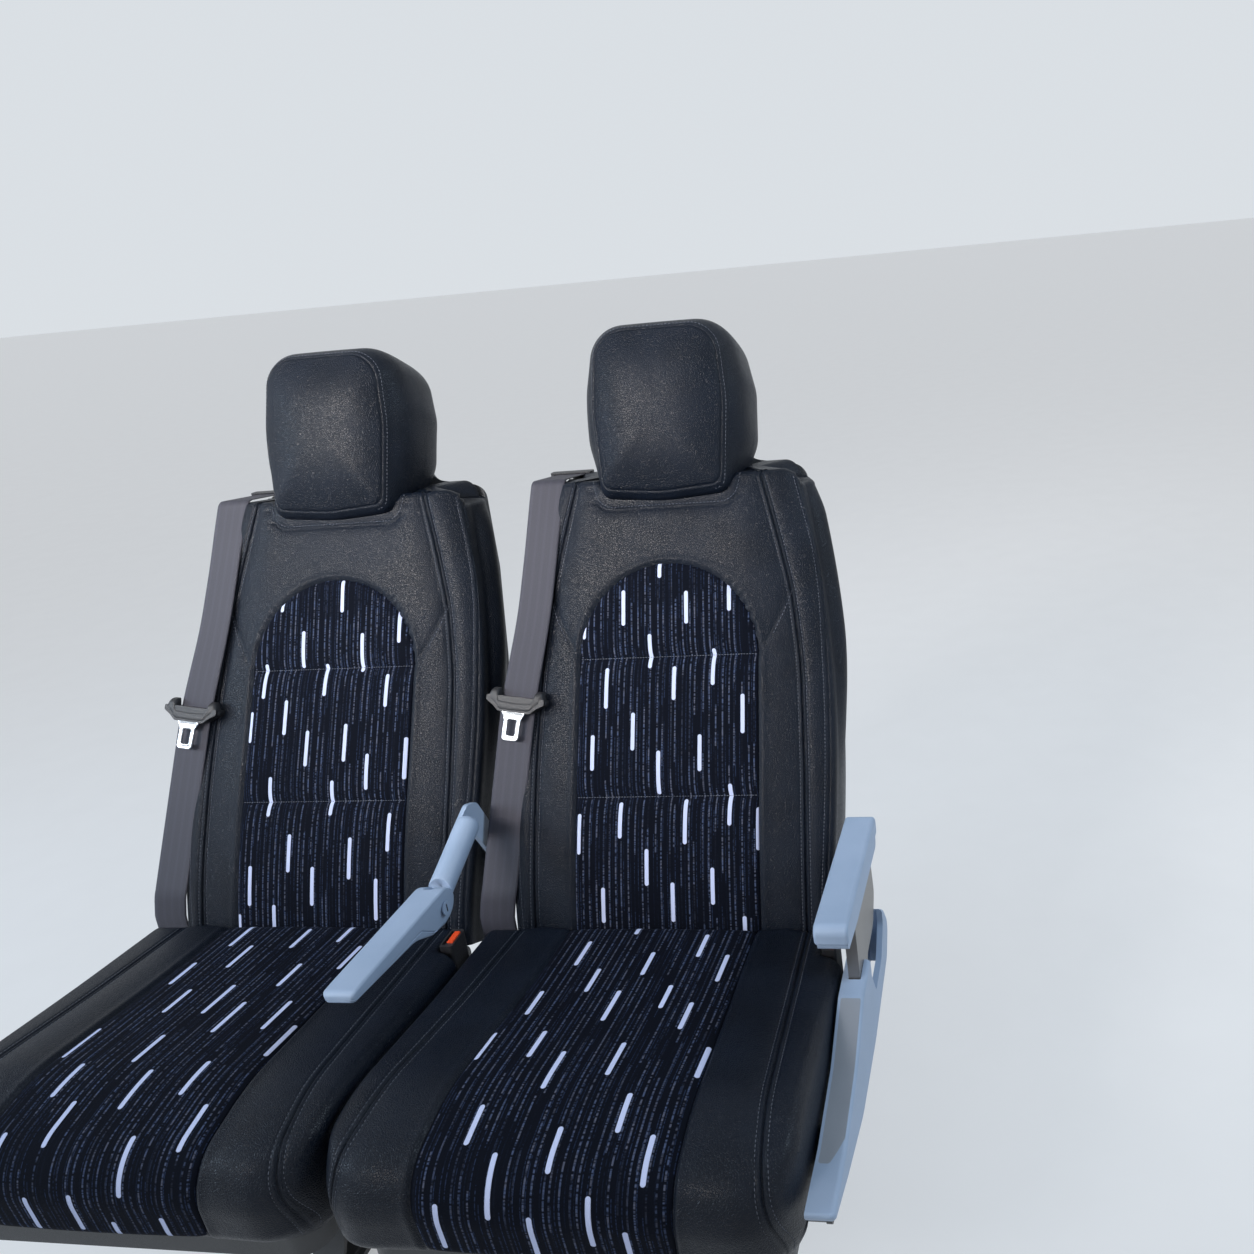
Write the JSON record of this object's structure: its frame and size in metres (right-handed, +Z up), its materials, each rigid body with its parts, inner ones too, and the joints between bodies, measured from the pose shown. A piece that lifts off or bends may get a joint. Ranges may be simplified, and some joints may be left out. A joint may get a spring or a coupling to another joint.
{
  "type": "twin coach passenger seat",
  "caption": "Twin reclining coach passenger seat with padded headrests, shoulder belts, fold-up centre armrest, sliding aisle armrest and two floor legs.",
  "frame": {"origin": "centre of the four floor bolts, on the floor", "axes": "+Z up, -Y the way the passenger faces, +X towards the aisle"},
  "size_m": [1.002, 0.793, 1.1308],
  "materials": {
    "leather": "grained black leather, satin",
    "shell_plastic": "textured charcoal moulding",
    "black_plastic": "fine matt black moulding",
    "silver_plastic": "silver-grey satin moulding",
    "grey_plastic": "dark grey soft-touch insert",
    "red_plastic": "orange-red release button",
    "webbing": "woven taupe-grey belt webbing",
    "steel": "zinc plated and brushed steel",
    "painted_steel": "satin black powder coat"
  },
  "bodies": {
    "frame": {"cushion_window": "leather", "hinge_brackets_window": "steel", "seat_pan_window": "black_plastic", "leg_window": "painted_steel", "lower_belt_window": "webbing", "belt_anchor_window": "steel", "buckle_window": "black_plastic", "buckle_button_window": "red_plastic", "cushion_aisle": "leather", "hinge_brackets_aisle": "steel", "seat_pan_aisle": "black_plastic", "leg_aisle": "painted_steel", "lower_belt_aisle": "webbing", "belt_anchor_aisle": "steel", "buckle_aisle": "black_plastic", "buckle_button_aisle": "red_plastic", "front_tube": "painted_steel", "rear_tube": "painted_steel", "panel_brackets": "painted_steel", "side_panel": "silver_plastic", "side_panel_inset": "grey_plastic", "arm_stalk": "silver_plastic"},
    "backrest_window": {"back_pad_window": "leather", "headrest_window": "leather", "back_shell_window": "shell_plastic", "recline_lugs_window": "steel", "belt_window": "webbing", "belt_slider_window": "black_plastic", "latch_tongue_window": "steel", "belt_guide_window": "black_plastic"},
    "backrest_aisle": {"back_pad_aisle": "leather", "headrest_aisle": "leather", "back_shell_aisle": "shell_plastic", "recline_lugs_aisle": "steel", "belt_aisle": "webbing", "belt_slider_aisle": "black_plastic", "latch_tongue_aisle": "steel", "belt_guide_aisle": "black_plastic"},
    "centre_armrest": {"centre_arm_cover": "silver_plastic", "centre_arm_shell": "silver_plastic", "centre_arm_pin": "steel"},
    "aisle_armrest": {"aisle_arm_pad": "silver_plastic", "aisle_arm_shell": "silver_plastic", "aisle_arm_post": "silver_plastic"}
  },
  "joints": [
    {"name": "recline_window", "type": "hinge", "parent": "frame", "child": "backrest_window", "pos_m": [-0.2375, 0.035, 0.358], "axis": [-1, 0, 0], "range_deg": [0, 15]},
    {"name": "recline_aisle", "type": "hinge", "parent": "frame", "child": "backrest_aisle", "pos_m": [0.2375, 0.035, 0.358], "axis": [-1, 0, 0], "range_deg": [0, 15]},
    {"name": "centre_arm_fold", "type": "hinge", "parent": "frame", "child": "centre_armrest", "pos_m": [-0.004, -0.103, 0.53], "axis": [-1, 0, 0], "range_deg": [0, 90]},
    {"name": "aisle_arm_slide", "type": "slide", "parent": "frame", "child": "aisle_armrest", "axis": [0, 0, -1], "range_m": [0, 0.065]}
  ]
}
